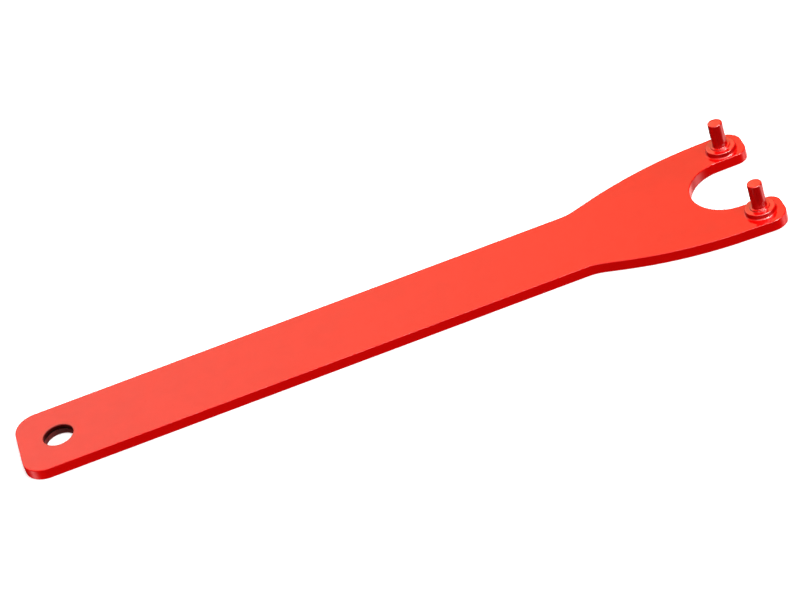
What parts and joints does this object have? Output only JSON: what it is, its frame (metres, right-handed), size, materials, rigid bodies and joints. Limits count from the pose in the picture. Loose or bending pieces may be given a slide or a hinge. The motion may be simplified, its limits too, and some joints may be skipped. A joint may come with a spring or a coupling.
{
  "type": "angle grinder pin spanner",
  "caption": "Flat steel spanner with a forked end and upright drive pins that turn the face-hole lock nut of an angle grinder; a hole in the handle hangs it up.",
  "frame": {"origin": "on the plate's back face, under the middle of the whole tool's length and width", "axes": "+X along the handle towards the fork tips, +Y to the left, +Z the way the drive pins point"},
  "size_m": [0.2284, 0.0492, 0.0132],
  "materials": {
    "plate_enamel": "gloss red enamel",
    "pin_enamel": "gloss red enamel"
  },
  "bodies": {
    "root": {"wrench_plate": "plate_enamel", "left_drive_pin": "pin_enamel", "right_drive_pin": "pin_enamel"}
  },
  "joints": []
}
